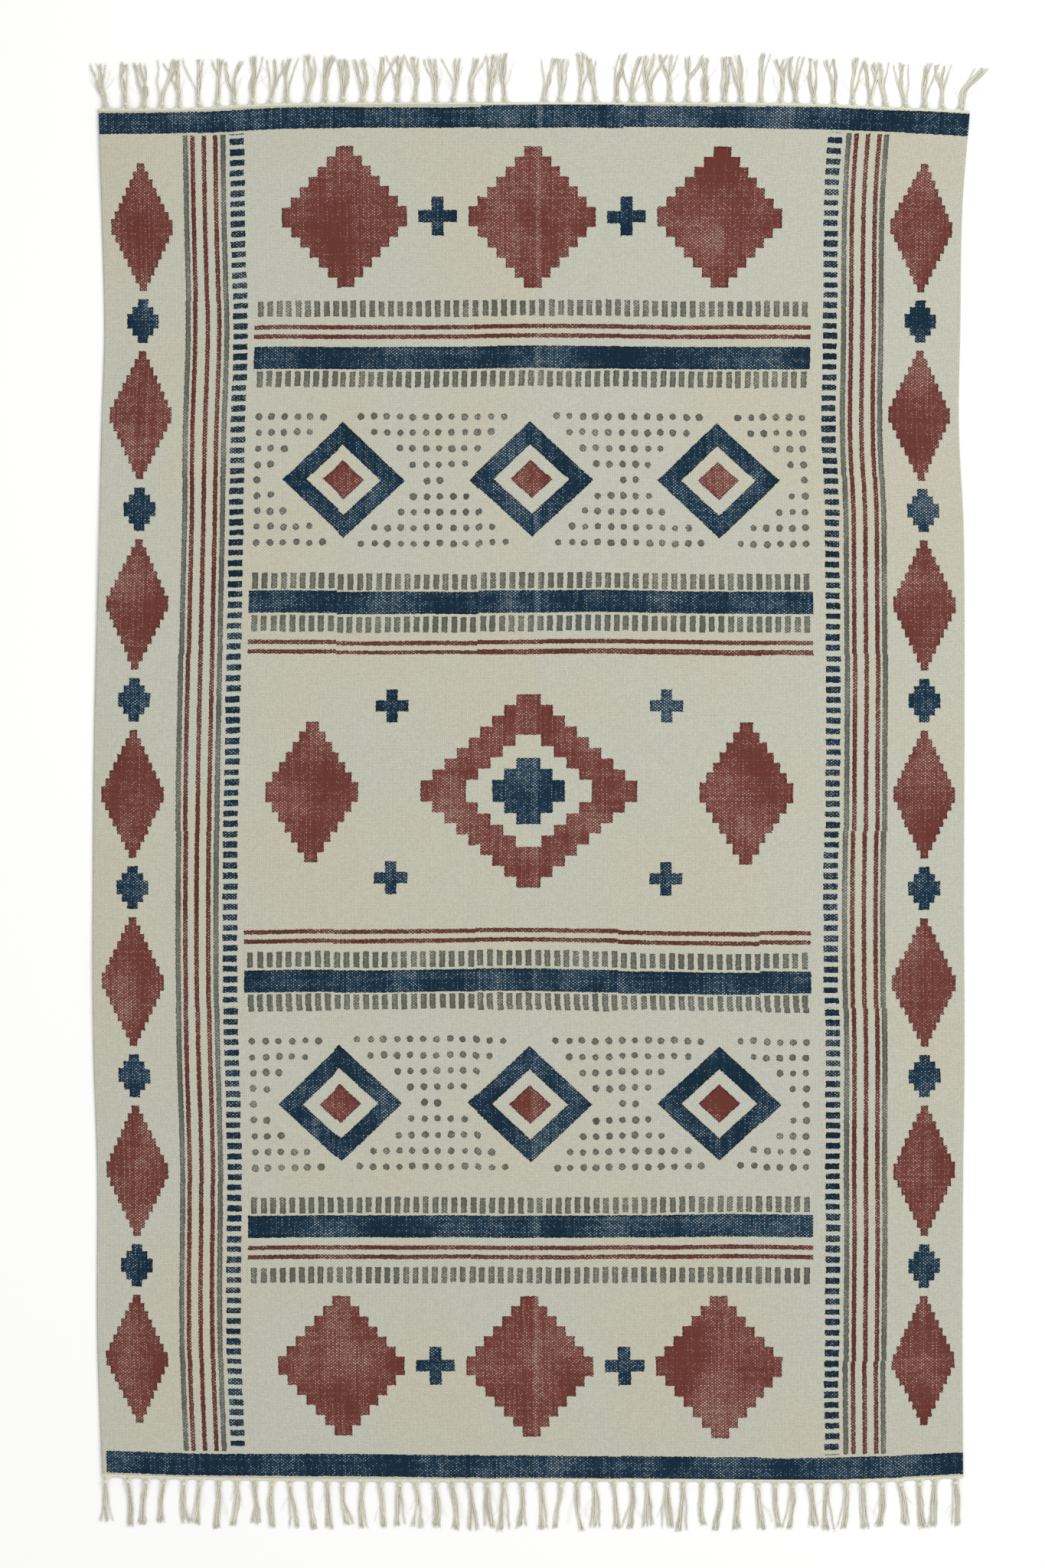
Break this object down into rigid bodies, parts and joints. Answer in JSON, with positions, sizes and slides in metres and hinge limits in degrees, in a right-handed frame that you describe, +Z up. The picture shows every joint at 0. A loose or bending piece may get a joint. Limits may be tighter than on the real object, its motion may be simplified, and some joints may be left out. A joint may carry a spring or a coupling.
{
  "type": "dhurrie rug",
  "caption": "Flat-woven cotton dhurrie, block-printed on a cream ground, with a twined edge and knotted warp tassels along both ends, lying flat.",
  "frame": {"origin": "on the floor plane, under the middle of the outline, fringes included", "axes": "+Y along the rug's length towards its top end, +X across it to the right, +Z up out of the printed face"},
  "size_m": [1.2322, 2.039, 0.0064],
  "materials": {
    "printed_cotton": "plain-woven unbleached cotton, printed with navy, brick red and grey pigment",
    "fringe_yarn": "unbleached plied cotton yarn, knotted and left loose"
  },
  "bodies": {
    "root": {"rug_cloth": "printed_cotton", "fringe_top": "fringe_yarn", "fringe_bottom": "fringe_yarn"}
  },
  "joints": []
}
